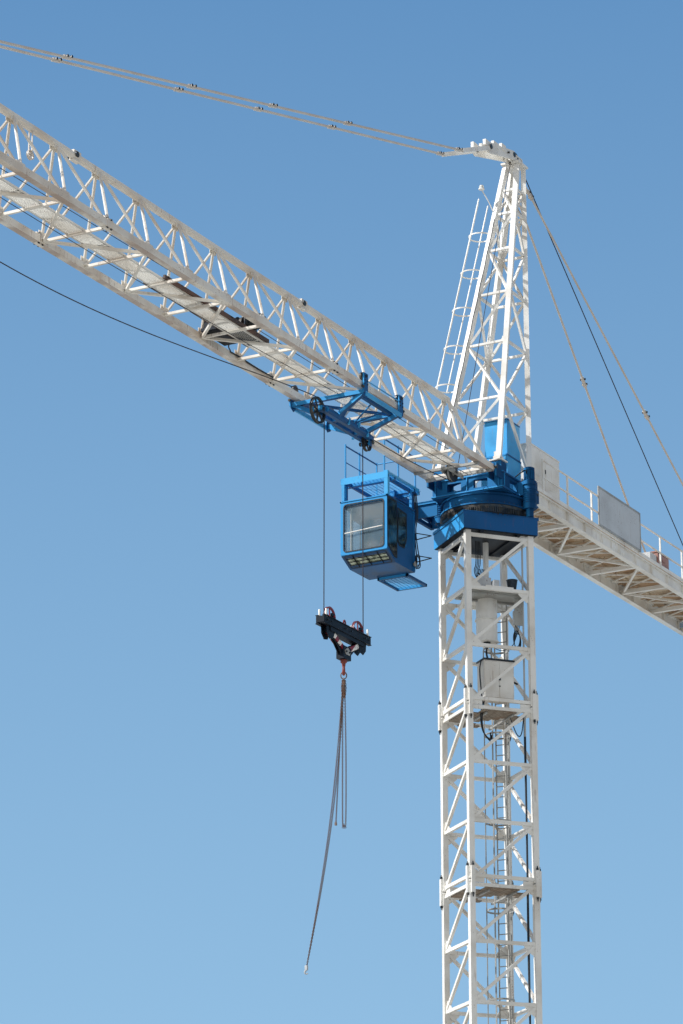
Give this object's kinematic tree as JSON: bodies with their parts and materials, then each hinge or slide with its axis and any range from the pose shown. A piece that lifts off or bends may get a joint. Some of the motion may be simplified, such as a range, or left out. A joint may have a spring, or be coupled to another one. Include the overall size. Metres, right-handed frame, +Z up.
{
  "type": "tower crane, scale model at 1:2",
  "caption": "Tower crane at half scale: lattice mast, slewing top with pointed head, trolley jib, counter-jib, glazed cab and a hook block with chain slings.",
  "frame": {"origin": "centre of the base cross's underside, on the ground at the mast axis", "axes": "+X along the jib, +Y to the left of someone looking out along the jib, +Z up"},
  "size_m": [28.4002, 3.8332, 21.9343],
  "materials": {
    "white_steel": "satin paint, weathered",
    "blue_steel": "satin paint",
    "dark_steel": "greased",
    "grey_steel": "worn paint",
    "rope_steel": "greased wire rope",
    "red_steel": "worn paint",
    "concrete": "painted concrete",
    "clear_glass": "clear",
    "red_vinyl": "matt",
    "old_wood": "rough, rust stained",
    "black_rubber": "matt"
  },
  "bodies": {
    "tower": {"base_cross": "grey_steel", "mast_legs": "white_steel", "mast_sides_a": "white_steel", "mast_sides_b": "white_steel", "mast_ladder": "grey_steel", "rest_platforms": "old_wood", "collector_column": "white_steel", "mast_cabinet": "white_steel", "power_cable": "black_rubber", "mast_collar": "blue_steel", "slewing_ring": "dark_steel"},
    "upper_works": {"turntable": "blue_steel", "slewing_gear": "blue_steel", "head_housing": "blue_steel", "head_legs": "white_steel", "head_side_lacing": "white_steel", "head_face_lacing": "white_steel", "head_apex": "white_steel", "head_ladder": "white_steel", "pendant_links": "white_steel", "jib_pendants": "white_steel", "rear_pendants": "white_steel", "hoist_rope": "rope_steel", "jib_top_chord": "white_steel", "jib_bottom_chords": "white_steel", "jib_side_lacing": "white_steel", "jib_bottom_lacing": "white_steel", "jib_walkway": "white_steel", "trolley_winch": "dark_steel", "jib_tip": "white_steel", "root_sheave": "grey_steel", "counter_jib_beams": "white_steel", "counter_jib_floor": "old_wood", "counter_jib_railings": "white_steel", "sign_panel": "grey_steel", "electrical_cabinet": "white_steel", "ballast_box": "red_steel", "hoist_winch": "blue_steel", "counterweights": "concrete", "cab_platform": "blue_steel", "cab_body": "blue_steel", "cab_glass": "clear_glass", "cab_seat": "red_vinyl", "cab_step": "blue_steel"},
    "trolley": {"trolley_frame": "blue_steel", "trolley_wheels": "dark_steel", "trolley_sheaves": "grey_steel", "rope_falls": "rope_steel"},
    "hook_block": {"block_beam": "dark_steel", "block_sheaves": "red_steel", "block_arms": "dark_steel"},
    "hook_and_slings": {"hook": "red_steel", "chain_slings": "grey_steel"}
  },
  "joints": [
    {"name": "slew", "type": "hinge", "parent": "tower", "child": "upper_works", "pos_m": [0, 0, 15.85], "axis": [0, 0, 1], "continuous": true},
    {"name": "trolley_travel", "type": "slide", "parent": "upper_works", "child": "trolley", "axis": [1, 0, 0], "range_m": [-1.9, 13.2]},
    {"name": "hoist", "type": "slide", "parent": "trolley", "child": "hook_block", "axis": [0, 0, 1], "range_m": [-8, 1.6], "deforming": ["rope_falls"]},
    {"name": "hook_swivel", "type": "hinge", "parent": "hook_block", "child": "hook_and_slings", "pos_m": [4.16, 0, 12.7], "axis": [0, 0, 1], "continuous": true}
  ]
}
